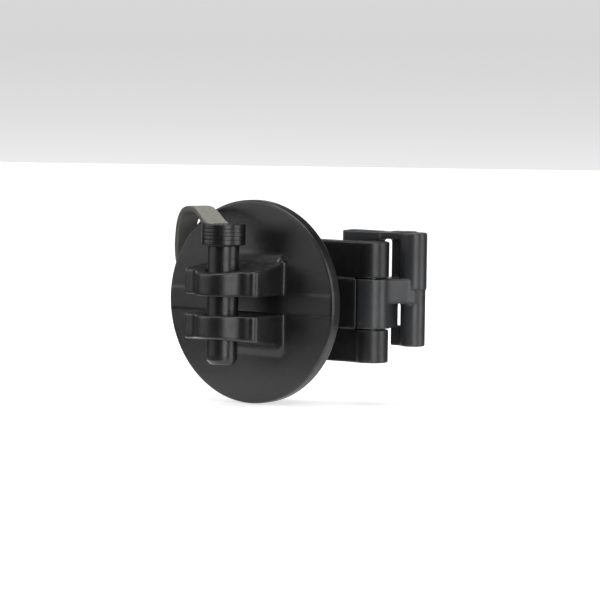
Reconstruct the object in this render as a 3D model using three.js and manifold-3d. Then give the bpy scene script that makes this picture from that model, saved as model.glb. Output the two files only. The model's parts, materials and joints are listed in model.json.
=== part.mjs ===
// Pin-lock fence insulator for a studded steel T-post, closed round the post's flange.
// Millimetres. Origin: centre of the seat that bears on the flange. X right, Y towards the post, Z up.
import * as THREE from 'three';
import { mergeVertices } from 'three/addons/utils/BufferGeometryUtils.js';
import Module from 'manifold-3d';

const wasm = await Module();
wasm.setup();

// ---- Driving dimensions -------------------------------------------------------------------------
const gap = 0.3; // clearance between separate pieces

// Clamp round the post's flange
const channelDepth = 4.4; // seat face to the bearing faces behind the flange
const clampHalfWidth = 20; // inner wall of the fixed hook, 1 mm clear of a 38 mm flange
const wall = 3.2;
const seatThickness = 4;
const clampBottom = -14.5;
const clampTop = 15.2;

// Shield disc
const discRadius = 25;
const discFront = -18.4; // Y of the rim's front edge
const rimDepth = 3.3;
const discWeb = 2.3;
const discCrown = 0.8;
const rimLip = 2.2;

// Clevis in front of the shield, and the pin that closes it
const pinAxisY = discFront - 11.4;
const shoulderY = discFront - 13.3;
const earHalfWidth = 11;
const earRootHalfWidth = 10.3;
const earCorner = 1.6;
const bossRadius = 6.7;
const slotHalfHeight = 2.25;
const slotMiddle = -0.2;
const shankRadius = 3.9;
const pinHeadRadius = 5.4;
const pinHeadBottom = 14.5;
const pinHeadTop = 19.7;
const pinTip = -14.7;

// Neck between the shield and the seat
const neckHalfWidth = 10.5;
const neckHalfHeight = 11.5;

// Hinge of the rear jaw
const hinge = new THREE.Vector2(23.7, -0.4);
const knuckleRadius = 4.1;
const hingePinRadius = 1;
const jawKnuckleBottom = -6.1;
const jawKnuckleTop = 6.1;

// Rear jaw: claw behind the flange, lever column beside it, arm over the top knuckle
const clawTip = 10.5;
const clawRoot = 22;
const clawThickness = 3;
const leverAxis = new THREE.Vector2(29.5, 8.8);
const leverRadius = 3.3;
const leverLowerRadius = 3.05;
const leverBottom = -10.7;
const leverStep = 3.2;
const leverTop = 17.3;
const armBottom = 15.6;
const tailLeft = 23.6;
const tailFront = 7.6;
const tailBack = 10.2;
const bridgeBottom = 0;

// Flexible strap from the pin's head, over the shield, to the side of the clamp
const strapWidth = 5.4;
const strapThickness = 1.6;
const strapRoute = [
  [-1, -30.2, 20.8], [-3.8, -28.8, 20.95], [-6.5, -27.4, 21.8], [-9.2, -26, 22.5],
  [-12, -24.5, 22.6], [-14.8, -22.7, 22.1], [-17.6, -20.3, 20.9], [-20.3, -17.8, 18.8],
  [-22.6, -15.4, 16], [-24.5, -13.2, 12.8], [-25.8, -11.2, 9.5], [-26.5, -9.2, 6.2],
  [-26.8, -7.2, 2.9], [-26.4, -5.2, 0], [-25.5, -3.6, -2.7], [-24.9, -3, -5.3],
];
const anchorTop = -6;
const anchorBottom = -11;

// ---- Solids from three.js geometries ------------------------------------------------------------
function solid(geometry) {
  const bare = geometry.clone();
  bare.deleteAttribute('normal');
  bare.deleteAttribute('uv');
  const merged = mergeVertices(bare, 1e-4);
  const mesh = new wasm.Mesh({
    numProp: 3,
    vertProperties: new Float32Array(merged.attributes.position.array),
    triVerts: new Uint32Array(merged.index.array),
  });
  return new wasm.Manifold(mesh);
}

function geometryOf(manifold) {
  const mesh = manifold.getMesh();
  const geometry = new THREE.BufferGeometry();
  geometry.setAttribute('position', new THREE.BufferAttribute(new Float32Array(mesh.vertProperties), 3));
  geometry.setIndex(new THREE.BufferAttribute(new Uint32Array(mesh.triVerts), 1));
  geometry.computeVertexNormals();
  return geometry;
}

function extrude(shape, depth, curveSegments) {
  return new THREE.ExtrudeGeometry(shape, { depth, bevelEnabled: false, curveSegments, steps: 1 });
}

// A plan outline in (X, Y), raised from z = low to z = high.
function raised(shape, low, high, curveSegments = 12) {
  return solid(extrude(shape, high - low, curveSegments).translate(0, 0, low));
}

// A side outline in (Y, Z), drawn out from x = low to x = high.
function sideways(shape, low, high, curveSegments = 12) {
  const turn = new THREE.Matrix4().makeBasis(
    new THREE.Vector3(0, 1, 0),
    new THREE.Vector3(0, 0, 1),
    new THREE.Vector3(1, 0, 0),
  );
  return solid(extrude(shape, high - low, curveSegments).applyMatrix4(turn).translate(low, 0, 0));
}

function block(x0, x1, y0, y1, z0, z1) {
  const box = new THREE.BoxGeometry(x1 - x0, y1 - y0, z1 - z0);
  return solid(box.translate((x0 + x1) / 2, (y0 + y1) / 2, (z0 + z1) / 2));
}

// A turned piece: profile points are (radius, z), on an upright axis through (x, y).
function turned(profile, x, y, segments = 40) {
  const points = profile.map(([radius, z]) => new THREE.Vector2(radius, z));
  const lathe = new THREE.LatheGeometry(points, segments).rotateX(Math.PI / 2);
  return solid(lathe.translate(x, y, 0));
}

function post(x, y, radius, low, high, segments = 40) {
  return turned([[0, low], [radius, low], [radius, high], [0, high]], x, y, segments);
}

function polygon(points) {
  return new THREE.Shape(points.map(([x, y]) => new THREE.Vector2(x, y)));
}

function union(solids) {
  return solids.reduce((whole, next) => whole.add(next));
}

// ---- Insulator body -----------------------------------------------------------------------------
// Shield disc, turned about Y: a slightly crowned front, a round rim and a lip round its back.
function shieldDisc() {
  const crownSteps = 5;
  const rimRound = 0.7;
  const profile = [];
  for (let i = 0; i <= crownSteps; i += 1) {
    const share = i / crownSteps;
    profile.push([share * (discRadius - rimRound), discCrown * (1 - share * share)]);
  }
  profile.push(
    [discRadius - 0.2, -0.25],
    [discRadius, -rimRound],
    [discRadius, rimRound - rimDepth],
    [discRadius - rimRound, -rimDepth],
    [discRadius - rimLip, -rimDepth],
    [discRadius - rimLip - 0.5, -discWeb],
    [0, -discWeb],
  );
  const points = profile.reverse().map(([radius, forward]) => new THREE.Vector2(radius, forward));
  const lathe = new THREE.LatheGeometry(points, 80).rotateX(Math.PI);
  return solid(lathe.translate(0, discFront, 0));
}

// Outline of an ear seen from above: square shoulders with a round boss about the pin.
function earPlan() {
  const rootY = discFront + 1;
  const bossAngle = Math.asin((pinAxisY - shoulderY) / bossRadius);
  const bossHalfWidth = bossRadius * Math.cos(bossAngle);
  const shape = new THREE.Shape();
  shape.moveTo(-earRootHalfWidth, rootY);
  shape.lineTo(-earHalfWidth, shoulderY + earCorner);
  shape.quadraticCurveTo(-earHalfWidth, shoulderY, -earHalfWidth + earCorner, shoulderY);
  shape.lineTo(-bossHalfWidth, shoulderY);
  shape.absarc(0, pinAxisY, bossRadius, Math.PI + bossAngle, 2 * Math.PI - bossAngle, false);
  shape.lineTo(earHalfWidth - earCorner, shoulderY);
  shape.quadraticCurveTo(earHalfWidth, shoulderY, earHalfWidth, shoulderY + earCorner);
  shape.lineTo(earRootHalfWidth, rootY);
  shape.closePath();
  return shape;
}

// Outline of the upper ear seen from the side: it thickens in a hollow curve towards the shield.
function earSide() {
  const frontY = pinAxisY - bossRadius - 1;
  const rootY = discFront + 1;
  const shape = new THREE.Shape();
  shape.moveTo(rootY, slotHalfHeight);
  shape.lineTo(rootY, 12.4);
  shape.quadraticCurveTo(discFront - 1.2, 10, discFront - 4, 9.7);
  shape.lineTo(shoulderY, 8.5);
  shape.lineTo(frontY, 7.8);
  shape.lineTo(frontY, slotHalfHeight);
  shape.closePath();
  return shape;
}

function clevis() {
  const plan = raised(earPlan(), -15, 15, 24);
  const upper = plan.intersect(sideways(earSide(), -15, 15));
  const lower = upper.mirror([0, 0, 1]);
  return upper.add(lower)
    .subtract(post(0, pinAxisY, shankRadius + gap, -15, 15))
    .translate(0, 0, slotMiddle);
}

// Hollow-cored neck: two pockets open upwards and two open downwards.
function neck() {
  const pocketInner = 2.8;
  const pocketOuter = 8.4;
  const floor = 2;
  let body = block(-neckHalfWidth, neckHalfWidth, discFront + 1.5, -2, -neckHalfHeight, neckHalfHeight);
  for (const side of [-1, 1]) {
    const x0 = Math.min(side * pocketInner, side * pocketOuter);
    for (const end of [-1, 1]) {
      const z0 = end > 0 ? floor : -neckHalfHeight - 1;
      const z1 = end > 0 ? neckHalfHeight + 1 : -floor;
      body = body.subtract(block(x0, x0 + pocketOuter - pocketInner, -14, -5.6, z0, z1));
    }
  }
  return body;
}

// Seat plate and the fixed hook round the flange's left edge, as one plan outline.
function clampSection() {
  const outer = -clampHalfWidth - wall;
  const back = channelDepth + clawThickness;
  const round = 1.5;
  const lipEnd = -11.2;
  const shape = new THREE.Shape();
  shape.moveTo(hinge.x - 2, -seatThickness);
  shape.lineTo(hinge.x - 2, 0);
  shape.lineTo(-clampHalfWidth, 0);
  shape.lineTo(-clampHalfWidth, channelDepth);
  shape.lineTo(lipEnd - 1.2, channelDepth);
  shape.lineTo(lipEnd, channelDepth + 0.8);
  shape.lineTo(lipEnd, back - 1);
  shape.lineTo(lipEnd - 1, back);
  shape.lineTo(outer + round, back);
  shape.quadraticCurveTo(outer, back, outer, back - round);
  shape.lineTo(outer, round - seatThickness);
  shape.quadraticCurveTo(outer, -seatThickness, outer + round, -seatThickness);
  shape.closePath();
  return raised(shape, clampBottom, clampTop, 4);
}

// Moulding pockets in the seat, which leave ribs and a middle pad to bear on the flange.
function seatPockets() {
  const halfWidth = 2.5;
  const halfHeight = 5.3;
  const depth = 2.4;
  const pockets = [];
  for (const x of [-15, -8, 8, 15]) {
    for (const z of [-6.6, 6.6]) {
      pockets.push(block(x - halfWidth, x + halfWidth, -depth, 1, z - halfHeight, z + halfHeight));
    }
  }
  return union(pockets);
}

function bodyKnuckles() {
  return union([
    post(hinge.x, hinge.y, knuckleRadius, clampBottom, jawKnuckleBottom - gap),
    post(hinge.x, hinge.y, knuckleRadius, jawKnuckleTop + gap, clampTop),
  ]);
}

// Lug on the hook's outer side that the strap grows out of.
function strapAnchor() {
  const halfStrap = strapWidth / 2;
  const outer = -clampHalfWidth - wall;
  return block(outer - 2.3, outer + 1, -3 - halfStrap, -3 + halfStrap, anchorBottom, anchorTop);
}

// Room for the jaw's knuckle: it wraps round the knuckle in front and is open behind.
function jawRoom() {
  const left = hinge.x - knuckleRadius - 0.35;
  const low = jawKnuckleBottom - gap;
  const high = jawKnuckleTop + gap;
  return union([
    block(left, 40, hinge.y, 10, low, high),
    block(hinge.x, 40, -10, 10, low, high),
    post(hinge.x, hinge.y, knuckleRadius + gap, low, high, 48),
  ]);
}

// Raised band on the front of the seat plate, level with the jaw's knuckle.
function frontBand() {
  const front = hinge.y - knuckleRadius - 0.1;
  return block(8, 21, front, -seatThickness + 0.5, jawKnuckleBottom, jawKnuckleTop);
}

function insulatorBody() {
  return union([shieldDisc(), clevis(), neck(), clampSection(), frontBand(), strapAnchor()])
    .subtract(jawRoom())
    .add(bodyKnuckles())
    .subtract(seatPockets())
    .subtract(post(hinge.x, hinge.y, hingePinRadius + gap, -20, 20, 24));
}

// ---- Rear jaw -----------------------------------------------------------------------------------
function jawKnuckle() {
  const wallPlan = polygon([
    [hinge.x - 3.6, hinge.y],
    [hinge.x + 3.5, hinge.y + 2.2],
    [26.1, channelDepth + clawThickness],
    [hinge.x - 3.6, channelDepth + clawThickness],
  ]);
  return union([
    post(hinge.x, hinge.y, knuckleRadius, jawKnuckleBottom, jawKnuckleTop),
    raised(wallPlan, jawKnuckleBottom, jawKnuckleTop),
  ]);
}

function claw() {
  const back = channelDepth + clawThickness;
  const plan = polygon([
    [clawTip + 1.2, channelDepth],
    [clawRoot, channelDepth],
    [clawRoot, back],
    [clawTip + 1, back],
    [clawTip, back - 1],
    [clawTip, channelDepth + 0.8],
  ]);
  return raised(plan, leverBottom, leverTop);
}

// Web from the knuckle to the lever, and the rib that carries it across the back of the claw.
function bridge() {
  const plan = polygon([
    [27.4, 1.2],
    [31.4, 6.6],
    [29.5, 11.2],
    [tailLeft, tailBack],
    [12.5, 8.9],
    [12.5, 6.5],
    [22, 6.5],
  ]);
  return raised(plan, bridgeBottom, jawKnuckleTop - 0.1);
}

// Half-round lever column with a flat tail on its left, in two lengths with a window between.
function lever() {
  const { x, y } = leverAxis;
  return union([
    post(x, y, leverLowerRadius, leverBottom, leverStep),
    post(x, y, leverRadius, leverStep, leverTop),
    block(tailLeft, x, tailFront, tailBack, bridgeBottom, leverTop),
    block(tailLeft, x, tailFront, tailBack, leverBottom, jawKnuckleBottom + gap),
  ]);
}

function arm() {
  const plan = polygon([
    [clawTip + 2, channelDepth + 0.6],
    [clawRoot, channelDepth],
    [leverAxis.x, tailFront],
    [leverAxis.x, tailBack],
    [tailLeft, tailBack],
    [clawTip + 2, channelDepth + clawThickness - 0.2],
  ]);
  return raised(plan, armBottom, leverTop);
}

function rearJaw() {
  return union([jawKnuckle(), claw(), bridge(), lever(), arm()])
    .subtract(post(hinge.x, hinge.y, hingePinRadius + gap, -20, 20, 24));
}

// ---- Pins and strap -----------------------------------------------------------------------------
function hingePin() {
  const chamfer = 0.3;
  const low = clampBottom + 0.4;
  const high = clampTop - 0.2;
  return turned([
    [0, low],
    [hingePinRadius - chamfer, low],
    [hingePinRadius, low + chamfer],
    [hingePinRadius, high - chamfer],
    [hingePinRadius - chamfer, high],
    [0, high],
  ], hinge.x, hinge.y, 24);
}

function lockPin() {
  return turned([
    [0, pinTip],
    [shankRadius - 1.1, pinTip],
    [shankRadius - 0.3, pinTip + 0.9],
    [shankRadius - 0.2, pinTip + 2],
    [shankRadius, pinHeadBottom - 3],
    [shankRadius, pinHeadBottom],
    [pinHeadRadius - 0.3, pinHeadBottom],
    [pinHeadRadius, pinHeadBottom + 0.3],
    [pinHeadRadius, pinHeadTop - 0.4],
    [pinHeadRadius - 0.4, pinHeadTop],
    [0, pinHeadTop],
  ], 0, pinAxisY);
}

// The strap's route, with frames that lay the band flat on the pin's head and turn it to face
// left, and a little backwards, where it runs down past the shield.
class StrapPath extends THREE.CatmullRomCurve3 {
  computeFrenetFrames(segments) {
    const { degToRad, smoothstep } = THREE.MathUtils;
    const frames = { tangents: [], normals: [], binormals: [] };
    for (let i = 0; i <= segments; i += 1) {
      const share = i / segments;
      const tangent = this.getTangentAt(share);
      const lean = smoothstep(share, 0.2, 0.6) * Math.PI / 2;
      const aside = degToRad(27) * (1 - smoothstep(share, 0.55, 0.95));
      const left = new THREE.Vector3(-Math.cos(aside), Math.sin(aside), 0);
      const outward = left.multiplyScalar(Math.sin(lean));
      outward.z = Math.cos(lean);
      const across = new THREE.Vector3().crossVectors(tangent, outward).normalize();
      frames.tangents.push(tangent);
      frames.normals.push(new THREE.Vector3().crossVectors(across, tangent));
      frames.binormals.push(across);
    }
    return frames;
  }
}

function strap() {
  const halfThickness = strapThickness / 2;
  const halfWidth = strapWidth / 2;
  const edge = 0.4;
  const section = polygon([
    [-halfThickness, -halfWidth + edge],
    [-halfThickness + edge, -halfWidth],
    [halfThickness - edge, -halfWidth],
    [halfThickness, -halfWidth + edge],
    [halfThickness, halfWidth - edge],
    [halfThickness - edge, halfWidth],
    [-halfThickness + edge, halfWidth],
    [-halfThickness, halfWidth - edge],
  ]);
  const path = new StrapPath(strapRoute.map(([x, y, z]) => new THREE.Vector3(x, y, z)));
  return solid(new THREE.ExtrudeGeometry(section, { extrudePath: path, steps: 56 }));
}

// ---- Assembly -----------------------------------------------------------------------------------
const blackPlastic = { color: 0x2b2b2d, roughness: 0.45, metalness: 0 };
const strapPlastic = { color: 0x55564f, roughness: 0.5, metalness: 0 };
const steel = { color: 0x8c8f92, roughness: 0.35, metalness: 1 };

function piece(name, manifold, finish) {
  const mesh = new THREE.Mesh(geometryOf(manifold), new THREE.MeshStandardMaterial(finish));
  mesh.name = name;
  return mesh;
}

const insulator = new THREE.Group();
insulator.add(piece('insulator_body', insulatorBody(), blackPlastic));
insulator.add(piece('rear_jaw', rearJaw(), blackPlastic));
insulator.add(piece('hinge_pin', hingePin(), steel));
insulator.add(piece('lock_pin', lockPin(), blackPlastic));
insulator.add(piece('pin_tether', strap(), strapPlastic));

export default insulator;
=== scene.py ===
# Pin-lock fence insulator: the detailed visual model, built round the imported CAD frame.
import json
import math

import bpy
import numpy as np
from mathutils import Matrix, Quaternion, Vector


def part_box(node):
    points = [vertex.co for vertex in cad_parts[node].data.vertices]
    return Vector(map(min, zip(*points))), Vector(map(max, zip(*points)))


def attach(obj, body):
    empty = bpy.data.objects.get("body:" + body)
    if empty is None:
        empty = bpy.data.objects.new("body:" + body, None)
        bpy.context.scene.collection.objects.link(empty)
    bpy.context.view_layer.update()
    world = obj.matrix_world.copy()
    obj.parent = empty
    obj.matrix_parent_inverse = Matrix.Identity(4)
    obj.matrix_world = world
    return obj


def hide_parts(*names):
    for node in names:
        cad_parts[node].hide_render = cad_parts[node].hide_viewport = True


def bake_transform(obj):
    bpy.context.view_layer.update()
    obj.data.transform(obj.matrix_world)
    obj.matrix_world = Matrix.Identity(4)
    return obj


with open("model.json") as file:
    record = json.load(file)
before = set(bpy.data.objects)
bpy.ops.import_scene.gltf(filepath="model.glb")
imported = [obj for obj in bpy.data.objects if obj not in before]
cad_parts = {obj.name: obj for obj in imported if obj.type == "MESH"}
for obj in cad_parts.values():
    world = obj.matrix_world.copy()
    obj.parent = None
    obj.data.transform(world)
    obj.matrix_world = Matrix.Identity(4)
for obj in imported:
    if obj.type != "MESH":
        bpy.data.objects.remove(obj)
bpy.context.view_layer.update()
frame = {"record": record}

MM = 0.001
FAR = 50.0  # distance given to empty space, in millimetres
KEPT_FACES = 0.3  # share of a moulding's faces that thinning keeps


def box_mm(node):
    """Lowest and highest corner of a CAD node, in millimetres."""
    return [[c / MM for c in corner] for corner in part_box(node)]


def joint(name):
    return next(j for j in frame["record"]["behaviour"]["joints"] if j["name"] == name)


# ---- Places and sizes from the frame, in millimetres --------------------------------------------
BODY_LOW, BODY_HIGH = box_mm("insulator_body")
JAW_LOW, JAW_HIGH = box_mm("rear_jaw")
PIN_LOW, PIN_HIGH = box_mm("lock_pin")
HINGE_PIN_LOW, HINGE_PIN_HIGH = box_mm("hinge_pin")
HINGE_X, HINGE_Y = [c / MM for c in joint("jaw_hinge")["pos_m"][:2]]

PIN_Y = (PIN_LOW[1] + PIN_HIGH[1]) / 2
HEAD_RADIUS = (PIN_HIGH[0] - PIN_LOW[0]) / 2
HEAD_HEIGHT = 5.2
HEAD_BOTTOM = PIN_HIGH[2] - HEAD_HEIGHT
SHANK_RADIUS = 3.9
BORE_RADIUS = SHANK_RADIUS + 0.3

DISC_RADIUS = BODY_HIGH[2]
DISC_FRONT = PIN_Y + 11.4
DISC_CROWN = 0.8
DISC_WEB = 2.3
RIM_DEPTH = 3.3

EAR_HALF_WIDTH = 11.0
EAR_ROOT_HALF_WIDTH = 10.3
SHOULDER_Y = DISC_FRONT - 13.3
BOSS_RADIUS = 6.7
SLOT_HALF_HEIGHT = 2.25
SLOT_MIDDLE = -0.2

CLAMP_TOP = 15.2
CLAMP_BOTTOM = -14.5
CLAMP_HALF_WIDTH = 20.0
WALL = 3.2
SEAT_THICKNESS = 4.0
CHANNEL_DEPTH = 4.4
CLAW_THICKNESS = 3.0
CLAMP_BACK = CHANNEL_DEPTH + CLAW_THICKNESS

KNUCKLE_RADIUS = 4.1
HINGE_BORE = 1.3
JAW_KNUCKLE_LOW = -6.1
JAW_KNUCKLE_HIGH = 6.1
KNUCKLE_GAP = 0.3

LEVER_X, LEVER_Y = 29.5, 8.8
LEVER_TOP = JAW_HIGH[2]
LEVER_BOTTOM = JAW_LOW[2]

STRAP_WIDTH = 5.4
STRAP_THICKNESS = 1.5
STRAP_ROUTE = [
    (-1, -30.2, 20.8), (-3.8, -28.8, 20.95), (-6.5, -27.4, 21.8), (-9.2, -26, 22.5),
    (-12, -24.5, 22.6), (-14.8, -22.7, 22.1), (-17.6, -20.3, 20.9), (-20.3, -17.8, 18.8),
    (-22.6, -15.4, 16), (-24.5, -13.2, 12.8), (-25.8, -11.2, 9.5), (-26.5, -9.2, 6.2),
    (-26.8, -7.2, 2.9), (-26.4, -5.2, 0), (-25.5, -3.6, -2.7), (-24.9, -3, -5.3),
]


# ---- Distance fields ----------------------------------------------------------------------------
# A shape is (distance function, lowest corner, highest corner) in millimetres. The function takes
# open grids of x, y and z, and its distance is negative inside the shape.
def smooth_min(a, b, blend):
    if blend == 0:
        return np.minimum(a, b)
    near = np.maximum(blend - np.abs(a - b), 0) / blend
    return np.minimum(a, b) - near * near * blend / 4


def rounded_pair(a, b, edge):
    """Distance to where two half-distances are both negative, its shared edge rounded."""
    a = a + edge
    b = b + edge
    return np.minimum(np.maximum(a, b), 0) + np.hypot(np.maximum(a, 0), np.maximum(b, 0)) - edge


def inset(points, distance):
    """A closed outline moved inwards by a distance."""
    points = np.array(points, float)
    edges = np.roll(points, -1, axis=0) - points
    area = np.sum(points[:, 0] * np.roll(points[:, 1], -1) - np.roll(points[:, 0], -1) * points[:, 1])
    edges /= np.linalg.norm(edges, axis=1, keepdims=True)
    inward = np.stack([-edges[:, 1], edges[:, 0]], axis=1) * np.sign(area)
    before = np.roll(inward, 1, axis=0)
    turn = 1 + np.sum(before * inward, axis=1, keepdims=True)
    return (points + distance * (before + inward) / turn).tolist()


def outline_distance(points, u, v):
    """Distance from (u, v) to a closed outline, negative inside."""
    shape = np.broadcast(u, v).shape
    best = np.full(shape, np.inf, np.float32)
    inside = np.zeros(shape, bool)
    for (ax, ay), (bx, by) in zip(points, points[1:] + points[:1]):
        ex, ey = bx - ax, by - ay
        share = np.clip(((u - ax) * ex + (v - ay) * ey) / (ex * ex + ey * ey), 0, 1)
        best = np.minimum(best, np.hypot(u - ax - share * ex, v - ay - share * ey))
        if ay != by:
            inside ^= ((v < ay) != (v < by)) & (u < ax + (v - ay) * ex / ey)
    return np.where(inside, -best, best)


def prism(axis, outline, low, high, edge=0.3, corner=0.3):
    """An outline drawn out along an axis: (y, z) along x, (x, z) along y or (x, y) along z."""
    across = [i for i in range(3) if i != axis]
    inner = inset(outline, corner) if corner else [tuple(p) for p in outline]
    middle, half = (low + high) / 2, (high - low) / 2

    def distance(*grids):
        flat = outline_distance(inner, grids[across[0]], grids[across[1]]) - corner
        return rounded_pair(flat, np.abs(grids[axis] - middle) - half, edge)

    corners = np.array(outline)
    box = np.zeros((2, 3))
    box[:, axis] = low, high
    box[:, across] = corners.min(axis=0), corners.max(axis=0)
    return distance, box[0], box[1]


def rod(x, y, radius, low, high, edge=0.3):
    """An upright cylinder."""
    middle, half = (low + high) / 2, (high - low) / 2

    def distance(gx, gy, gz):
        return rounded_pair(np.hypot(gx - x, gy - y) - radius, np.abs(gz - middle) - half, edge)

    return distance, (x - radius, y - radius, low), (x + radius, y + radius, high)


def cuboid(low, high, edge=0.3):
    middle = [(a + b) / 2 for a, b in zip(low, high)]
    half = [(b - a) / 2 for a, b in zip(low, high)]

    def distance(*grids):
        q = [np.abs(g - m) - h + edge for g, m, h in zip(grids, middle, half)]
        outside = np.sqrt(sum(np.maximum(c, 0) ** 2 for c in q))
        return outside + np.minimum(np.maximum(np.maximum(q[0], q[1]), q[2]), 0) - edge

    return distance, low, high


def ball(centre, radius):
    def distance(*grids):
        return np.sqrt(sum((g - c) ** 2 for g, c in zip(grids, centre))) - radius

    return distance, [c - radius for c in centre], [c + radius for c in centre]


def turned_about_y(profile, corner):
    """A profile of (radius, y) turned about the y axis."""
    inner = inset(profile, corner)
    radius = max(r for r, _ in profile)
    ys = [y for _, y in profile]

    def distance(gx, gy, gz):
        return outline_distance(inner, np.hypot(gx, gz), gy) - corner

    return distance, (-radius, min(ys), -radius), (radius, max(ys), radius)


def both(first, second, edge):
    """The part that two shapes share, with the edge between them rounded."""
    def distance(*grids):
        return -smooth_min(-first[0](*grids), -second[0](*grids), edge)

    return distance, np.maximum(first[1], second[1]), np.minimum(first[2], second[2])


def mirrored_z(shape):
    def distance(gx, gy, gz):
        return shape[0](gx, gy, -gz)

    low, high = shape[1], shape[2]
    return distance, (low[0], low[1], -high[2]), (high[0], high[1], -low[2])


def raised(shape, amount):
    """A shape moved up."""
    def distance(gx, gy, gz):
        return shape[0](gx, gy, gz - amount)

    return distance, np.array(shape[1]) + (0, 0, amount), np.array(shape[2]) + (0, 0, amount)


class Moulding:
    """A solid held as a distance field on a grid, in millimetres."""

    def __init__(self, low, high, step):
        self.step = step
        self.low = np.array(low, float) - 3 * step
        count = np.ceil((np.array(high, float) + 3 * step - self.low) / step).astype(int) + 1
        self.field = np.full(count, FAR, np.float32)

    def _window(self, shape, margin):
        first = np.floor((np.array(shape[1]) - margin - self.low) / self.step).astype(int)
        last = np.ceil((np.array(shape[2]) + margin - self.low) / self.step).astype(int) + 1
        first = np.clip(first, 0, self.field.shape)
        last = np.clip(last, 0, self.field.shape)
        grids = [self.low[i] + self.step * np.arange(first[i], last[i]) for i in range(3)]
        part = tuple(slice(a, b) for a, b in zip(first, last))
        return part, np.ix_(*[g.astype(np.float32) for g in grids])

    def add(self, shape, blend=0.0):
        part, grids = self._window(shape, blend + 4 * self.step)
        self.field[part] = smooth_min(self.field[part], shape[0](*grids), blend)

    def cut(self, shape, blend=0.35):
        part, grids = self._window(shape, blend + 4 * self.step)
        self.field[part] = -smooth_min(-self.field[part], shape[0](*grids), blend)

    def sample(self, grid, points):
        """Values of a grid at points, by trilinear interpolation."""
        place = (points - self.low) / self.step
        base = np.clip(np.floor(place).astype(int), 0, np.array(grid.shape) - 2)
        share = place - base
        total = np.zeros(len(points))
        for corner in np.ndindex(2, 2, 2):
            weight = np.prod(np.where(corner, share, 1 - share), axis=1)
            total += weight * grid[tuple((base + corner).T)]
        return total

    def skin(self):
        """Vertices and quads of the surface: one vertex in each cell that the surface crosses."""
        inside = self.field < 0
        cells = tuple(n - 1 for n in inside.shape)
        corners = list(np.ndindex(2, 2, 2))
        count = np.zeros(cells, np.uint8)
        for c in corners:
            count += inside[tuple(slice(o, o + n) for o, n in zip(c, cells))]
        active = (count > 0) & (count < 8)
        at = np.argwhere(active)
        number = np.full(cells, -1, np.int32)
        number[active] = np.arange(len(at))
        values = {c: self.field[tuple((at + c).T)] for c in corners}
        total = np.zeros((len(at), 3))
        hits = np.zeros(len(at))
        for a in corners:
            for axis in range(3):
                if a[axis]:
                    continue
                b = tuple(1 if i == axis else a[i] for i in range(3))
                crossed = (values[a] < 0) != (values[b] < 0)
                span = np.where(crossed, values[a] - values[b], 1)
                point = np.tile(np.array(a, float), (len(at), 1))
                point[:, axis] += values[a] / span
                total += point * crossed[:, None]
                hits += crossed
        vertices = self.low + self.step * (at + total / hits[:, None])
        quads = [self._quads(inside, number, axis) for axis in range(3)]
        return vertices, np.concatenate(quads)

    @staticmethod
    def _quads(inside, number, axis):
        """One quad across each grid edge along an axis that the surface crosses."""
        here = [slice(1, -1)] * 3
        ahead = [slice(1, -1)] * 3
        here[axis], ahead[axis] = slice(0, -1), slice(1, None)
        start, end = inside[tuple(here)], inside[tuple(ahead)]
        at = np.argwhere(start != end)
        leaving = start[tuple(at.T)]
        at += np.array([0 if i == axis else 1 for i in range(3)])
        u, v = [i for i in range(3) if i != axis]
        steps = [(0, 0), (-1, 0), (-1, -1), (0, -1)]
        ring = []
        for du, dv in steps:
            cell = at.copy()
            cell[:, u] += du
            cell[:, v] += dv
            ring.append(number[tuple(cell.T)])
        quads = np.stack(ring, axis=1)
        flip = leaving if axis == 1 else ~leaving
        quads[flip] = quads[flip][:, ::-1]
        return quads


def grid_object(name, vertices, faces):
    """A mesh object from arrays of vertices in millimetres and equal-sided faces."""
    mesh = bpy.data.meshes.new(name)
    sides = faces.shape[1]
    mesh.vertices.add(len(vertices))
    mesh.vertices.foreach_set("co", (vertices * MM).ravel())
    mesh.loops.add(faces.size)
    mesh.loops.foreach_set("vertex_index", faces.ravel())
    mesh.polygons.add(len(faces))
    mesh.polygons.foreach_set("loop_start", np.arange(0, faces.size, sides))
    mesh.update(calc_edges=True)
    mesh.validate()
    piece = bpy.data.objects.new(name, mesh)
    bpy.context.scene.collection.objects.link(piece)
    return piece


def moulded(name, moulding):
    """The moulding's surface as an object, thinned to a share of its faces, with exact normals."""
    piece = grid_object(name, *moulding.skin())
    thin = piece.modifiers.new("thin", "DECIMATE")
    thin.ratio = KEPT_FACES
    done = piece.evaluated_get(bpy.context.evaluated_depsgraph_get())
    mesh = bpy.data.meshes.new_from_object(done)
    piece.modifiers.clear()
    piece.data = mesh
    mesh.name = name

    field = moulding.field
    slopes = np.gradient(field, moulding.step)
    points = np.empty(len(mesh.vertices) * 3)
    mesh.vertices.foreach_get("co", points)
    points = points.reshape(-1, 3) / MM
    for _ in range(3):
        slope = np.stack([moulding.sample(s, points) for s in slopes], axis=1)
        length = np.maximum(np.linalg.norm(slope, axis=1, keepdims=True), 0.3)
        points -= moulding.sample(field, points)[:, None] * slope / length ** 2
    slope = np.stack([moulding.sample(s, points) for s in slopes], axis=1)
    normals = slope / np.maximum(np.linalg.norm(slope, axis=1, keepdims=True), 1e-6)
    mesh.vertices.foreach_set("co", (points * MM).ravel())
    mesh.shade_smooth()
    mesh.normals_split_custom_set_from_vertices(normals)

    bend = sum(np.gradient(s, moulding.step, axis=i) for i, s in enumerate(slopes))
    edge = np.clip(moulding.sample(bend, points) * 0.4, -1, 1)
    mesh.attributes.new("edge", "FLOAT", "POINT").data.foreach_set("value", edge)
    mesh.update()
    return piece


def joined(first, second, blend):
    """Two shapes as one, with a fillet where they meet."""
    def distance(*grids):
        return smooth_min(first[0](*grids), second[0](*grids), blend)

    return distance, np.minimum(first[1], second[1]), np.maximum(first[2], second[2])


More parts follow.
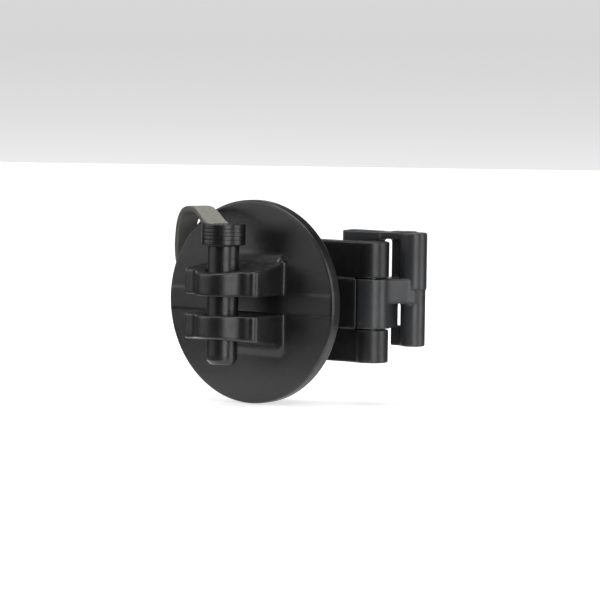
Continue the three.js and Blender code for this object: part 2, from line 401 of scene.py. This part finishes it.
def without(shape, other):
    """A shape less another."""
    def distance(*grids):
        return np.maximum(shape[0](*grids), -other[0](*grids))

    return distance, shape[1], shape[2]


def swollen(shape, amount):
    """A shape grown all over."""
    def distance(*grids):
        return shape[0](*grids) - amount

    return distance, np.array(shape[1]) - amount, np.array(shape[2]) + amount


def button(x, z, radius, low, high, edge=0.1):
    """A short cylinder along the y axis, for ejector and gate marks."""
    middle, half = (low + high) / 2, (high - low) / 2

    def distance(gx, gy, gz):
        return rounded_pair(np.hypot(gx - x, gz - z) - radius, np.abs(gy - middle) - half, edge)

    return distance, (x - radius, low, z - radius), (x + radius, high, z + radius)


# ---- Insulator body -----------------------------------------------------------------------------
def shield_disc():
    """The shield: a slightly crowned front, a round rim and a lip round the back."""
    crown = [(r, DISC_FRONT - DISC_CROWN * (1 - (r / DISC_RADIUS) ** 2)) for r in (0, 6, 12, 18, 24)]
    lip = 2.2
    profile = [(-3, DISC_FRONT - DISC_CROWN)] + crown + [
        (DISC_RADIUS, DISC_FRONT),
        (DISC_RADIUS, DISC_FRONT + RIM_DEPTH),
        (DISC_RADIUS - lip, DISC_FRONT + RIM_DEPTH),
        (DISC_RADIUS - lip - 0.6, DISC_FRONT + DISC_WEB),
        (-3, DISC_FRONT + DISC_WEB),
    ]
    return turned_about_y(profile, 0.55)


def upper_ear():
    """The upper ear, about the middle of the wire slot: square shoulders and a round boss."""
    root = DISC_FRONT + 2
    front = PIN_Y - BOSS_RADIUS - 1
    plan = prism(2, [
        (-EAR_ROOT_HALF_WIDTH, root),
        (EAR_ROOT_HALF_WIDTH, root),
        (EAR_HALF_WIDTH, SHOULDER_Y),
        (-EAR_HALF_WIDTH, SHOULDER_Y),
    ], -15, 15, corner=1.6)
    side = prism(0, [
        (root, SLOT_HALF_HEIGHT),
        (root, 11.2),
        (DISC_FRONT - 1, 10.3),
        (DISC_FRONT - 4, 9.7),
        (SHOULDER_Y, 8.5),
        (front, 7.8),
        (front, SLOT_HALF_HEIGHT),
    ], -15, 15, corner=0.25)
    whole = joined(plan, rod(0, PIN_Y, BOSS_RADIUS, -15, 15), 2.6)
    gusset = prism(0, [
        (root, 8), (root, 13.2), (DISC_FRONT - 0.8, 11.6), (DISC_FRONT - 2.2, 10.5),
        (DISC_FRONT - 5, 9.2), (DISC_FRONT - 5, 8),
    ], 0.5 - EAR_ROOT_HALF_WIDTH, EAR_ROOT_HALF_WIDTH - 0.5, edge=0.6, corner=0.3)
    return joined(both(whole, side, 0.6), gusset, 0.8)


def clamp_plan():
    outer = -CLAMP_HALF_WIDTH - WALL
    lip_end = -11.2
    return [
        (HINGE_X - 2, -SEAT_THICKNESS), (HINGE_X - 2, 0),
        (-CLAMP_HALF_WIDTH, 0), (-CLAMP_HALF_WIDTH, CHANNEL_DEPTH),
        (lip_end - 1.3, CHANNEL_DEPTH), (lip_end, CHANNEL_DEPTH + 0.9),
        (lip_end, CLAMP_BACK - 1.2), (lip_end - 1.2, CLAMP_BACK),
        (outer + 1.4, CLAMP_BACK), (outer, CLAMP_BACK - 1.4),
        (outer, 1.4 - SEAT_THICKNESS), (outer + 1.4, -SEAT_THICKNESS),
    ]


def core_out_neck(body):
    """Two pockets open upwards and two downwards, as a moulder cores a thick block."""
    inner, outer, floor, end = 2.8, 8.4, 2.0, 16.0
    for side in (-1, 1):
        x0, x1 = sorted((side * inner, side * outer))
        for z0, z1 in ((floor, end), (-end, -floor)):
            body.cut(cuboid((x0, DISC_FRONT + 4.4, z0), (x1, -5.6, z1), 0.7), 0.5)


def core_out_seat(body):
    half_width, half_height, depth = 2.5, 5.3, 2.4
    for x in (-15, -8, 8, 15):
        for z in (-6.6, 6.6):
            low = (x - half_width, -depth, z - half_height)
            high = (x + half_width, 2, z + half_height)
            body.cut(cuboid(low, high, 0.5), 0.4)


def mark_body(body):
    """Ejector marks on the shield's back and the seat, and the gate mark in the seat's middle."""
    web_back = DISC_FRONT + DISC_WEB
    for angle in range(45, 360, 90):
        x = 17.8 * math.cos(math.radians(angle))
        z = 17.8 * math.sin(math.radians(angle))
        body.cut(button(x, z, 1.7, web_back - 0.16, web_back + 1), 0.1)
    for x in (-11.5, 11.5):
        for z in (-13.2, 13.2):
            body.cut(button(x, z, 0.9, -0.15, 1), 0.1)
    body.cut(button(0, 0, 1.6, -0.25, 1), 0.1)
    body.add(button(0, 0, 0.6, -1, -0.08), 0.1)


def jaw_room(body):
    """Room for the jaw's knuckle: it wraps round the knuckle in front and is open behind."""
    left = HINGE_X - KNUCKLE_RADIUS - 0.35
    low, high = JAW_KNUCKLE_LOW - KNUCKLE_GAP, JAW_KNUCKLE_HIGH + KNUCKLE_GAP
    body.cut(cuboid((left, HINGE_Y, low), (40, 10, high), 0.2), 0.3)
    body.cut(cuboid((HINGE_X, -10, low), (40, 10, high), 0.2), 0.3)
    body.cut(rod(HINGE_X, HINGE_Y, KNUCKLE_RADIUS + KNUCKLE_GAP, low, high, 0.1), 0.3)
    body.add(rod(HINGE_X, HINGE_Y, KNUCKLE_RADIUS, CLAMP_BOTTOM, low, 0.25), 0.3)
    body.add(rod(HINGE_X, HINGE_Y, KNUCKLE_RADIUS, high, CLAMP_TOP, 0.25), 0.3)


def insulator_body():
    outer = -CLAMP_HALF_WIDTH - WALL
    body = Moulding(BODY_LOW, BODY_HIGH, 0.25)
    disc = shield_disc()
    body.add(disc)
    ear = upper_ear()
    for side in (ear, mirrored_z(ear)):
        body.add(raised(side, SLOT_MIDDLE), 1.2)
    slot = cuboid((-14, PIN_Y - 9, -SLOT_HALF_HEIGHT), (14, DISC_FRONT + 1, SLOT_HALF_HEIGHT), 0.1)
    body.cut(without(raised(slot, SLOT_MIDDLE), disc), 0.35)
    # Witness band that a slide of the mould left on the shield, level with the wire slot
    witness = cuboid((-24.4, DISC_FRONT - 1.5, -2.6), (24.4, DISC_FRONT + 1, 2.7), 0.1)
    body.add(both(swollen(disc, 0.1), witness, 0.12))
    body.cut(rod(0, PIN_Y, BORE_RADIUS, -15, 15), 0.6)

    neck = cuboid((-10.5, DISC_FRONT + 1.5, -11.5), (10.5, -2, 11.5), 1.2)
    body.add(neck, 1.6)
    body.add(prism(2, clamp_plan(), CLAMP_BOTTOM, CLAMP_TOP, edge=0.45, corner=0.5), 1.4)
    band_front = HINGE_Y - KNUCKLE_RADIUS - 0.1
    body.add(cuboid((8, band_front, JAW_KNUCKLE_LOW), (21.8, -2, JAW_KNUCKLE_HIGH), 0.1), 0.25)
    jaw_room(body)
    anchor_low = (outer - 2.3, -3 - STRAP_WIDTH / 2, -11)
    body.add(cuboid(anchor_low, (outer + 1, -3 + STRAP_WIDTH / 2, -6), 0.8), 0.8)

    core_out_neck(body)
    core_out_seat(body)
    body.cut(rod(HINGE_X, HINGE_Y, HINGE_BORE, -20, 20, 0.1), 0.4)
    mark_body(body)
    return moulded("insulator_moulding", body)


# ---- Rear jaw -----------------------------------------------------------------------------------
def rear_jaw():
    jaw = Moulding(JAW_LOW, JAW_HIGH, 0.18)
    knuckle = (JAW_KNUCKLE_LOW, JAW_KNUCKLE_HIGH)
    left = HINGE_X - 3.6
    claw_tip, claw_root = JAW_LOW[0], 22.0
    tail_left, tail_front, tail_back = 23.6, 7.6, 10.2
    bridge_low, bridge_high = 0.0, JAW_KNUCKLE_HIGH - 0.1
    lever_step = 3.2
    arm_low = 15.6

    jaw.add(prism(2, [
        (claw_tip + 1.2, CHANNEL_DEPTH), (claw_root, CHANNEL_DEPTH), (claw_root, CLAMP_BACK),
        (claw_tip + 1, CLAMP_BACK), (claw_tip, CLAMP_BACK - 1), (claw_tip, CHANNEL_DEPTH + 0.8),
    ], LEVER_BOTTOM, LEVER_TOP, edge=0.4, corner=0.35))
    jaw.add(prism(2, [
        (27.4, 1.2), (31.4, 6.6), (29.5, 11.2), (tail_left, tail_back),
        (12.5, 8.9), (12.5, 6.5), (22, 6.5),
    ], bridge_low, bridge_high, edge=0.45, corner=0.4), 0.9)
    jaw.add(rod(LEVER_X, LEVER_Y, 3.05, LEVER_BOTTOM, lever_step + 1, 0.4), 0.8)
    jaw.add(rod(LEVER_X, LEVER_Y, 3.3, lever_step, LEVER_TOP, 0.4), 0.15)
    jaw.add(cuboid((tail_left, tail_front, bridge_low), (LEVER_X, tail_back, LEVER_TOP), 0.35), 0.5)
    tail_end = JAW_KNUCKLE_LOW + KNUCKLE_GAP
    jaw.add(cuboid((tail_left, tail_front, LEVER_BOTTOM), (LEVER_X, tail_back, tail_end), 0.35), 0.5)
    jaw.add(prism(2, [
        (claw_tip + 2, CHANNEL_DEPTH + 0.6), (claw_root, CHANNEL_DEPTH), (LEVER_X, tail_front),
        (LEVER_X, tail_back), (tail_left, tail_back), (claw_tip + 2, CLAMP_BACK - 0.2),
    ], arm_low, LEVER_TOP, edge=0.3, corner=0.3), 0.9)
    jaw.add(prism(2, [
        (left, HINGE_Y), (HINGE_X + 3.5, HINGE_Y + 2.2), (26.1, CLAMP_BACK), (left, CLAMP_BACK),
    ], *knuckle, edge=0.2, corner=0.3), 0.6)
    jaw.add(rod(HINGE_X, HINGE_Y, KNUCKLE_RADIUS, *knuckle, 0.2), 0.4)
    jaw.add(ball((HINGE_X - 0.8, HINGE_Y - 3.8, -4.6), 0.5), 0.2)
    jaw.cut(rod(HINGE_X, HINGE_Y, HINGE_BORE, -20, 20, 0.1), 0.3)
    return moulded("jaw_moulding", jaw)


# ---- Turned pins --------------------------------------------------------------------------------
def filleted(points, radius, steps=5):
    """A profile with each inner corner rounded."""
    points = [Vector(p) for p in points]
    made = [points[0]]
    for before, corner, after in zip(points, points[1:], points[2:]):
        a, b = (before - corner).normalized(), (after - corner).normalized()
        reach = min(radius, 0.45 * (before - corner).length, 0.45 * (after - corner).length)
        start, end = corner + a * reach, corner + b * reach
        for i in range(steps + 1):
            t = i / steps
            made.append(start * (1 - t) ** 2 + corner * 2 * t * (1 - t) + end * t ** 2)
    made.append(points[-1])
    return made


def profile_normals(points, closed=False):
    """Outward normals of a profile, each weighted to its longer side, so that flats stay flat."""
    count = len(points)
    normals = []
    for i in range(count):
        total = Vector((0, 0))
        for j in (i - 1, i):
            if not closed and (j < 0 or j == count - 1):
                continue
            step = points[(j + 1) % count] - points[j % count]
            total += Vector((step.y, -step.x)) * step.length
        normals.append(total.normalized())
    return normals


def revolved(name, profile, x, y, segments=112):
    """A turned piece from a profile of (radius, z) that runs from its foot to its top on the axis."""
    normals = profile_normals(profile)
    ring = [2 * math.pi * i / segments for i in range(segments)]
    inner = profile[1:-1]
    vertices = [(x, y, profile[0].y)]
    directions = [(0, 0, -1)]
    for point, normal in zip(inner, normals[1:-1]):
        for angle in ring:
            c, s = math.cos(angle), math.sin(angle)
            vertices.append((x + point.x * c, y + point.x * s, point.y))
            directions.append((normal.x * c, normal.x * s, normal.y))
    vertices.append((x, y, profile[-1].y))
    directions.append((0, 0, 1))
    faces = []
    top, last = len(vertices) - 1, 1 + (len(inner) - 1) * segments
    for i in range(segments):
        j = (i + 1) % segments
        faces.append((0, 1 + j, 1 + i))
        for k in range(len(inner) - 1):
            row = 1 + k * segments
            faces.append((row + i, row + j, row + segments + j, row + segments + i))
        faces.append((last + i, last + j, top))
    return plain_object(name, vertices, faces, directions)


def plain_object(name, vertices, faces, directions):
    mesh = bpy.data.meshes.new(name)
    mesh.from_pydata([Vector(v) * MM for v in vertices], [], faces)
    mesh.update()
    mesh.shade_smooth()
    mesh.normals_split_custom_set_from_vertices(directions)
    piece = bpy.data.objects.new(name, mesh)
    bpy.context.scene.collection.objects.link(piece)
    return piece


def lock_pin():
    """The pin: fine grip ridges round its head, and a shank with a round lead-in."""
    foot, top = PIN_LOW[2], PIN_HIGH[2]
    outline = [
        (0, foot), (SHANK_RADIUS - 1.1, foot), (SHANK_RADIUS - 0.25, foot + 0.9),
        (SHANK_RADIUS - 0.15, foot + 2.2), (SHANK_RADIUS, HEAD_BOTTOM - 3),
        (SHANK_RADIUS, HEAD_BOTTOM), (HEAD_RADIUS, HEAD_BOTTOM),
    ]
    ridge_depth, ridge_pitch = 0.03, 0.9
    z = HEAD_BOTTOM + 1.1
    while z < top - 1.2:
        outline += [
            (HEAD_RADIUS, z), (HEAD_RADIUS - ridge_depth, z + 0.12),
            (HEAD_RADIUS - ridge_depth, z + 0.24), (HEAD_RADIUS, z + 0.36),
        ]
        z += ridge_pitch
    outline += [
        (HEAD_RADIUS, top), (HEAD_RADIUS - 1.1, top), (HEAD_RADIUS - 1.3, top - 0.18), (0, top - 0.18),
    ]
    return revolved("lock_pin_moulding", filleted(outline, 0.35), 0, PIN_Y)


def hinge_pin():
    low, high = HINGE_PIN_LOW[2], HINGE_PIN_HIGH[2]
    radius = (HINGE_PIN_HIGH[0] - HINGE_PIN_LOW[0]) / 2
    outline = [(0, low), (radius - 0.3, low), (radius, low + 0.3)]
    outline += [(radius, high - 0.3), (radius - 0.3, high), (0, high)]
    return revolved("hinge_pin_steel", filleted(outline, 0.15), HINGE_X, HINGE_Y, 48)


# ---- Strap --------------------------------------------------------------------------------------
def smooth_step(share, start, end):
    t = min(max((share - start) / (end - start), 0), 1)
    return t * t * (3 - 2 * t)


def strap_points(samples):
    """Points along the strap's route, from the pin's head down to the lug, as a smooth curve."""
    route = [Vector(p) for p in STRAP_ROUTE]
    for point, sunk in zip(route, (1.85, 1.1, 0.35)):
        point.z -= sunk
    route.append(Vector((route[-1].x, route[-1].y, route[-1].z - 1)))
    knots = [route[0] * 2 - route[1]] + route + [route[-1] * 2 - route[-2]]
    dense = []
    for p0, p1, p2, p3 in zip(knots, knots[1:], knots[2:], knots[3:]):
        for i in range(24):
            t = i / 24
            dense.append(0.5 * (
                2 * p1 + (p2 - p0) * t + (2 * p0 - 5 * p1 + 4 * p2 - p3) * t ** 2
                + (3 * p1 - p0 - 3 * p2 + p3) * t ** 3
            ))
    dense.append(route[-1])
    lengths = [0.0]
    for a, b in zip(dense, dense[1:]):
        lengths.append(lengths[-1] + (b - a).length)
    even = np.linspace(0, lengths[-1], samples)
    spread = [np.interp(even, lengths, [p[i] for p in dense]) for i in range(3)]
    return [Vector(p) for p in zip(*spread)], lengths[-1]


def tether():
    """The moulded strap: it grows out of the pin's head, narrows a little and turns over."""
    samples = 150
    points, length = strap_points(samples)
    half_thickness = STRAP_THICKNESS / 2
    corner, end_round = 0.42, 1.2
    vertices, directions = [], []
    for i, point in enumerate(points):
        share = i / (samples - 1)
        run = share * length
        tangent = (points[min(i + 1, samples - 1)] - points[max(i - 1, 0)]).normalized()
        lean = smooth_step(share, 0.2, 0.6) * math.pi / 2
        aside = math.radians(27) * (1 - smooth_step(share, 0.55, 0.95))
        level = math.sin(lean)
        facing = Vector((-level * math.cos(aside), level * math.sin(aside), math.cos(lean)))
        across = tangent.cross(facing).normalized()
        outward = across.cross(tangent)
        half_width = 2.95 - 0.25 * smooth_step(run, 3, 12)
        if run < end_round:
            half_width -= end_round - math.sqrt(end_round ** 2 - (end_round - run) ** 2)
        half_width += 0.3 * smooth_step(run, length - 3, length - 0.5)
        section = strap_section(half_width, half_thickness, corner)
        for place, normal in zip(section, profile_normals(section, closed=True)):
            vertices.append(point + across * place.x + outward * place.y)
            directions.append(across * normal.x + outward * normal.y)
    count = len(section)
    faces = []
    for i in range(samples - 1):
        for j in range(count):
            k = (j + 1) % count
            faces.append((i * count + j, (i + 1) * count + j, (i + 1) * count + k, i * count + k))
    last = (samples - 1) * count
    faces.append(tuple(range(count)))
    faces.append(tuple(range(last + count - 1, last - 1, -1)))
    return plain_object("tether_strap", vertices, faces, directions)


def strap_section(half_width, half_thickness, corner):
    """A flat section with round edges, anticlockwise."""
    corner = min(corner, half_width * 0.8)
    places = []
    for quarter, (sx, sy) in enumerate(((1, 1), (-1, 1), (-1, -1), (1, -1))):
        centre = Vector((sx * (half_width - corner), sy * (half_thickness - corner)))
        for i in range(5):
            angle = math.pi / 2 * (quarter + i / 4)
            places.append(centre + corner * Vector((math.cos(angle), math.sin(angle))))
    return places


# ---- Materials ----------------------------------------------------------------------------------
class Nodes:
    """A material's node tree, with short helpers. Texture scales are in cycles per millimetre."""

    def __init__(self, name):
        self.material = bpy.data.materials.new(name)
        self.material.use_nodes = True
        self.tree = self.material.node_tree
        self.shader = self.tree.nodes["Principled BSDF"]
        self.place = self.new("TexCoord").outputs["Object"]

    def new(self, kind, **settings):
        node = self.tree.nodes.new("ShaderNode" + kind)
        for key, value in settings.items():
            setattr(node, key, value)
        return node

    def feed(self, socket, value):
        if isinstance(value, bpy.types.NodeSocket):
            self.tree.links.new(value, socket)
        else:
            socket.default_value = value

    def math(self, operation, a, b):
        node = self.new("Math", operation=operation)
        for socket, value in zip(node.inputs, (a, b)):
            self.feed(socket, value)
        return node.outputs[0]

    def stretched(self, scale, turn=(0, 0, 0), shift=(0, 0, 0)):
        node = self.new("Mapping")
        self.feed(node.inputs["Vector"], self.place)
        node.inputs["Location"].default_value = shift
        node.inputs["Rotation"].default_value = turn
        node.inputs["Scale"].default_value = [s / MM for s in scale]
        return node.outputs["Vector"]

    def noise(self, scale, detail=2.0, roughness=0.5, distortion=0.0, turn=(0, 0, 0), shift=0.0):
        node = self.new("TexNoise")
        sizes = scale if isinstance(scale, tuple) else (scale,) * 3
        self.feed(node.inputs["Vector"], self.stretched(sizes, turn, (shift,) * 3))
        node.inputs["Scale"].default_value = 1.0
        node.inputs["Detail"].default_value = detail
        node.inputs["Roughness"].default_value = roughness
        node.inputs["Distortion"].default_value = distortion
        return node.outputs[0]

    def span(self, value, low, high, start=0.0, end=1.0, smooth=True):
        """The value's low to high range brought smoothly to start to end."""
        node = self.new("MapRange")
        node.interpolation_type = "SMOOTHSTEP" if smooth else "LINEAR"
        for key, v in (("From Min", low), ("From Max", high), ("To Min", start), ("To Max", end)):
            node.inputs[key].default_value = v
        self.feed(node.inputs["Value"], value)
        return node.outputs["Result"]

    def mix(self, share, a, b):
        node = self.new("Mix", data_type="RGBA")
        sockets = [s for s in node.inputs if s.type == "RGBA"]
        self.feed(node.inputs["Factor"], share)
        for socket, colour in zip(sockets, (a, b)):
            self.feed(socket, (*colour, 1) if isinstance(colour, tuple) else colour)
        return next(s for s in node.outputs if s.type == "RGBA")

    def bump(self, height, depth, under=None):
        """Relief of a depth in millimetres, over another relief."""
        node = self.new("Bump")
        node.inputs["Strength"].default_value = 1.0
        node.inputs["Distance"].default_value = depth * MM
        self.feed(node.inputs["Height"], height)
        if under is not None:
            self.feed(node.inputs["Normal"], under)
        return node.outputs["Normal"]

    def attribute(self, name):
        return self.new("Attribute", attribute_name=name).outputs["Fac"]

    def facing_up(self):
        split = self.new("SeparateXYZ")
        self.feed(split.inputs[0], self.new("NewGeometry").outputs["Normal"])
        return split.outputs["Z"]

    def set(self, **inputs):
        for key, value in inputs.items():
            self.feed(self.shader.inputs[key.replace("_", " ")], value)
        return self.material


def scratches(m, shift):
    """Sparse fine scratches in two directions, 1 where there is one."""
    runs = []
    for i, turn in enumerate(((0.4, 0.9, 0.3), (1.3, -0.5, 0.8))):
        streak = m.noise((4.5, 0.09, 4.5), 1.0, turn=turn, shift=shift + 3.7 * i)
        patch = m.noise(0.12, 1.0, shift=shift + 9.1 + i)
        line = m.span(streak, 0.67, 0.72)
        runs.append(m.math("MULTIPLY", line, m.span(patch, 0.48, 0.62)))
    return m.math("MAXIMUM", runs[0], runs[1])


def moulded_plastic(name, colour, worn, roughness, grain_depth, shift, edges=True):
    """Moulded plastic: fine spark grain, flow marks, rubbed edges, light scratches and dust."""
    m = Nodes(name)
    cloud = m.noise(0.09, 3.0, 0.55, 0.6, shift=shift)
    flow = m.noise((0.05, 0.22, 0.16), 2.0, 0.5, 1.2, turn=(0.2, 0.5, 0.1), shift=shift + 2)
    mottle = m.noise(0.8, 4.0, 0.6, shift=shift + 4)
    grain = m.noise(4.2, 2.0, 0.55, shift=shift + 6)
    scratch = scratches(m, shift + 8)

    tint = m.mix(m.span(cloud, 0.3, 0.7), colour, tuple(c * 1.25 for c in colour))
    tint = m.mix(m.span(mottle, 0.4, 0.75, 0.0, 0.1), tint, worn)
    tint = m.mix(m.math("MULTIPLY", scratch, 0.3), tint, worn)
    # Dust settled in patches on upward faces
    dust_and_painted_top_light = m.math("MULTIPLY", m.span(m.facing_up(), 0.55, 1.0), m.span(mottle, 0.42, 0.68))
    tint = m.mix(m.math("MULTIPLY", dust_and_painted_top_light, 0.05), tint, (0.30, 0.28, 0.25))
    gloss = m.math("ADD", roughness - 0.04, m.span(mottle, 0.3, 0.75, 0.0, 0.06))
    gloss = m.math("ADD", gloss, m.span(flow, 0.35, 0.65, -0.02, 0.03))
    gloss = m.math("ADD", gloss, m.math("MULTIPLY", scratch, 0.1))
    gloss = m.math("ADD", gloss, m.math("MULTIPLY", dust_and_painted_top_light, 0.12))
    if edges:
        edge = m.attribute("edge")
        chipped = m.math("MULTIPLY", m.span(edge, 0.12, 0.6), m.span(mottle, 0.3, 0.62, 0.25, 1))
        tint = m.mix(m.math("MULTIPLY", chipped, 0.35), tint, worn)
        gloss = m.math("SUBTRACT", gloss, m.math("MULTIPLY", chipped, 0.06))
        corner = m.span(m.math("MULTIPLY", edge, -1.0), 0.1, 0.7)
        grime = m.math("MULTIPLY", corner, m.span(mottle, 0.35, 0.6))
        tint = m.mix(m.math("MULTIPLY", grime, 0.12), tint, (0.11, 0.10, 0.085))
    relief = m.bump(flow, 0.03)
    relief = m.bump(cloud, 0.06, relief)
    relief = m.bump(mottle, 0.012, relief)
    relief = m.bump(grain, grain_depth, relief)
    relief = m.bump(m.math("MULTIPLY", scratch, -1.0), 0.006, relief)
    return m.set(Base_Color=tint, Roughness=gloss, Normal=relief, IOR=1.5, Specular_IOR_Level=0.5)


def soft_strap_plastic():
    """The strap's greyer, softer plastic: matt, with faint moulding lines across it and its upward
    faces painted paler as painted top light.
    """
    m = Nodes("strap_soft_plastic")
    cloud = m.noise(0.16, 3.0, 0.6, 0.4, shift=31)
    mottle = m.noise(1.3, 4.0, 0.6, shift=33)
    grain = m.noise(5.0, 2.0, shift=35)
    scratch = scratches(m, 37)
    tint = m.mix(m.span(cloud, 0.3, 0.7), (0.105, 0.106, 0.093), (0.135, 0.135, 0.119))
    tint = m.mix(m.span(mottle, 0.45, 0.75, 0, 0.4), tint, (0.175, 0.172, 0.152))
    tint = m.mix(m.math("MULTIPLY", scratch, 0.4), tint, (0.20, 0.195, 0.175))
    # Painted light: the upward faces are made paler almost all over, a painted highlight of the light
    # from above
    dust_and_painted_top_light = m.math("MULTIPLY", m.span(m.facing_up(), 0.5, 1.0), m.span(mottle, 0.3, 0.7, 0.65, 1))
    tint = m.mix(m.math("MULTIPLY", dust_and_painted_top_light, 0.6), tint, (0.34, 0.33, 0.29))
    gloss = m.math("ADD", 0.44, m.span(mottle, 0.3, 0.75, 0.0, 0.12))
    gloss = m.math("ADD", gloss, m.math("MULTIPLY", scratch, 0.08))
    relief = m.bump(cloud, 0.06)
    relief = m.bump(mottle, 0.014, relief)
    relief = m.bump(grain, 0.006, relief)
    return m.set(Base_Color=tint, Roughness=gloss, Normal=relief, IOR=1.5, Specular_IOR_Level=0.4)


def drawn_steel():
    """The hinge pin: drawn wire with fine lines along it and a little surface rust."""
    m = Nodes("hinge_pin_steel")
    lines = m.noise((3.5, 3.5, 0.06), 3.0, 0.6, shift=51)
    cloud = m.noise(0.5, 4.0, 0.6, shift=53)
    tint = m.mix(m.span(lines, 0.3, 0.7), (0.34, 0.33, 0.32), (0.50, 0.49, 0.47))
    rust = m.span(cloud, 0.56, 0.7)
    tint = m.mix(m.math("MULTIPLY", rust, 0.55), tint, (0.16, 0.085, 0.045))
    gloss = m.math("ADD", m.span(lines, 0.3, 0.7, 0.28, 0.40), m.math("MULTIPLY", rust, 0.25))
    metal = m.span(rust, 0.0, 1.0, 1.0, 0.35)
    relief = m.bump(lines, 0.01)
    relief = m.bump(cloud, 0.01, relief)
    return m.set(Base_Color=tint, Roughness=gloss, Metallic=metal, Normal=relief)


# ---- Assembly -----------------------------------------------------------------------------------
def finish_piece(piece, material, slot, *nodes):
    piece.data.materials.append(material)
    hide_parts(*nodes)


def build():
    black = (0.0065, 0.0065, 0.0070)
    rubbed = (0.040, 0.040, 0.042)
    hazy = (0.027, 0.028, 0.030)
    body = insulator_body()
    plastic = moulded_plastic("insulator_black_plastic", black, rubbed, 0.37, 0.010, 1)
    finish_piece(body, plastic, "body_plastic", "insulator_body")
    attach(body, "insulator")

    jaw = rear_jaw()
    plastic = moulded_plastic("jaw_black_plastic", hazy, rubbed, 0.38, 0.007, 17)
    finish_piece(jaw, plastic, "jaw_plastic", "rear_jaw")
    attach(jaw, "jaw")

    steel = hinge_pin()
    finish_piece(steel, drawn_steel(), "pin_steel", "hinge_pin")
    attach(steel, "insulator")

    pin = lock_pin()
    plastic = moulded_plastic("pin_black_plastic", black, rubbed, 0.32, 0.006, 23, edges=False)
    finish_piece(pin, plastic, "pin_plastic", "lock_pin")
    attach(pin, "pin")

    strap = tether()
    finish_piece(strap, soft_strap_plastic(), "strap_plastic", "pin_tether")
    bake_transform(strap)


# ---- Studio -------------------------------------------------------------------------------------
def turned_sheet(name, profile, sides=96):
    """A sheet turned about the z axis from a profile of (radius, z)."""
    vertices, faces = [], []
    for r, z in profile:
        for i in range(sides):
            angle = 2 * math.pi * i / sides
            vertices.append(Vector((r * math.cos(angle), r * math.sin(angle), z)) * MM)
    for k in range(len(profile) - 1):
        for i in range(sides):
            j = (i + 1) % sides
            faces.append((k * sides + i, (k + 1) * sides + i, (k + 1) * sides + j, k * sides + j))
    if profile[0][0] < 1:
        faces.append(tuple(range(sides)))
    mesh = bpy.data.meshes.new(name)
    mesh.from_pydata(vertices, [], faces)
    mesh.shade_smooth()
    sheet = bpy.data.objects.new(name, mesh)
    bpy.context.scene.collection.objects.link(sheet)
    return sheet


def studio_paper():
    """Matt white paper with the faintest unevenness."""
    m = Nodes("studio_paper")
    tone = m.span(m.noise(0.004, 2.0), 0.3, 0.7)
    tint = m.mix(tone, (0.80, 0.80, 0.80), (0.82, 0.82, 0.82))
    m.set(Base_Color=tint, Roughness=0.9, Specular_IOR_Level=0.1)
    return m.set(Emission_Color=(1, 1, 1, 1), Emission_Strength=0.6)


def studio_floor():
    """A pale round floor that turns up into a wall all round, well away from the object."""
    floor_z, near, flat, bend = BODY_LOW[2] - 0.2, 62.0, 3200.0, 1200.0
    paper = studio_paper()
    table = turned_sheet("studio_table", [(0.5, floor_z), (near, floor_z)])
    profile = [(near, floor_z), (flat, floor_z)]
    for i in range(1, 13):
        angle = math.pi / 2 * i / 12
        profile.append((flat + bend * math.sin(angle), floor_z + bend * (1 - math.cos(angle))))
    profile.append((flat + bend, floor_z + 3 * bend))
    room = turned_sheet("studio_room", profile)
    room.visible_glossy = False
    room.visible_diffuse = False
    for sheet in (table, room):
        sheet.data.materials.append(paper)


def soft_light(name, azimuth, elevation, distance, size, power, target):
    """A softbox that faces the target. Azimuth 0 is in front of the shield, 90 on its right."""
    a, e = math.radians(azimuth), math.radians(elevation)
    away = Vector((math.sin(a) * math.cos(e), -math.cos(a) * math.cos(e), math.sin(e)))
    data = bpy.data.lights.new(name, "AREA")
    data.shape = "RECTANGLE"
    data.size, data.size_y = size
    data.energy = power
    lamp = bpy.data.objects.new(name, data)
    lamp.location = target + away * distance
    lamp.rotation_mode = "QUATERNION"
    lamp.rotation_quaternion = (-away).to_track_quat("-Z", "Y")
    lamp.visible_camera = False
    bpy.context.scene.collection.objects.link(lamp)


def camera(azimuth, elevation, distance, target, roll):
    a, e = math.radians(azimuth), math.radians(elevation)
    away = Vector((math.sin(a) * math.cos(e), -math.cos(a) * math.cos(e), math.sin(e)))
    data = bpy.data.cameras.new("camera")
    data.lens = 367.0
    data.clip_start, data.clip_end = 0.02, 20
    eye = bpy.data.objects.new("camera", data)
    eye.location = target + away * distance
    eye.rotation_mode = "QUATERNION"
    level = (-away).to_track_quat("-Z", "Y")
    eye.rotation_quaternion = level @ Quaternion((0, 0, 1), math.radians(roll))
    bpy.context.scene.collection.objects.link(eye)
    bpy.context.scene.camera = eye


def studio():
    scene = bpy.context.scene
    scene.view_settings.view_transform = "Standard"
    world = bpy.data.worlds.new("studio")
    world.use_nodes = True
    world.node_tree.nodes["Background"].inputs["Color"].default_value = (1, 1, 1, 1)
    world.node_tree.nodes["Background"].inputs["Strength"].default_value = 0.07
    scene.world = world
    studio_floor()
    middle = Vector((0, DISC_FRONT, 0)) * MM
    soft_light("softbox_left", -48, 24, 1.1, (1.2, 1.1), 7.6, middle)
    soft_light("softbox_front", 58, 10, 1.1, (0.6, 0.9), 7.0, middle)
    soft_light("softbox_right", 112, 10, 1.0, (0.6, 1.0), 4.6, middle)
    soft_light("softbox_back", 216, 9, 1.2, (1.3, 0.5), 2.0, middle)
    soft_light("softbox_top", 10, 82, 1.1, (0.9, 0.9), 10.0, middle)
    azimuth, elevation, roll, distance = 36.3, 4.0, 0.8, 1.5
    aim_right, aim_up = 12.1 * MM, 0.62 * MM
    right = Vector((math.cos(math.radians(azimuth)), math.sin(math.radians(azimuth)), 0))
    target = middle + right * aim_right + Vector((0, 0, aim_up))
    camera(azimuth, elevation, distance, target, roll)


build()
studio()
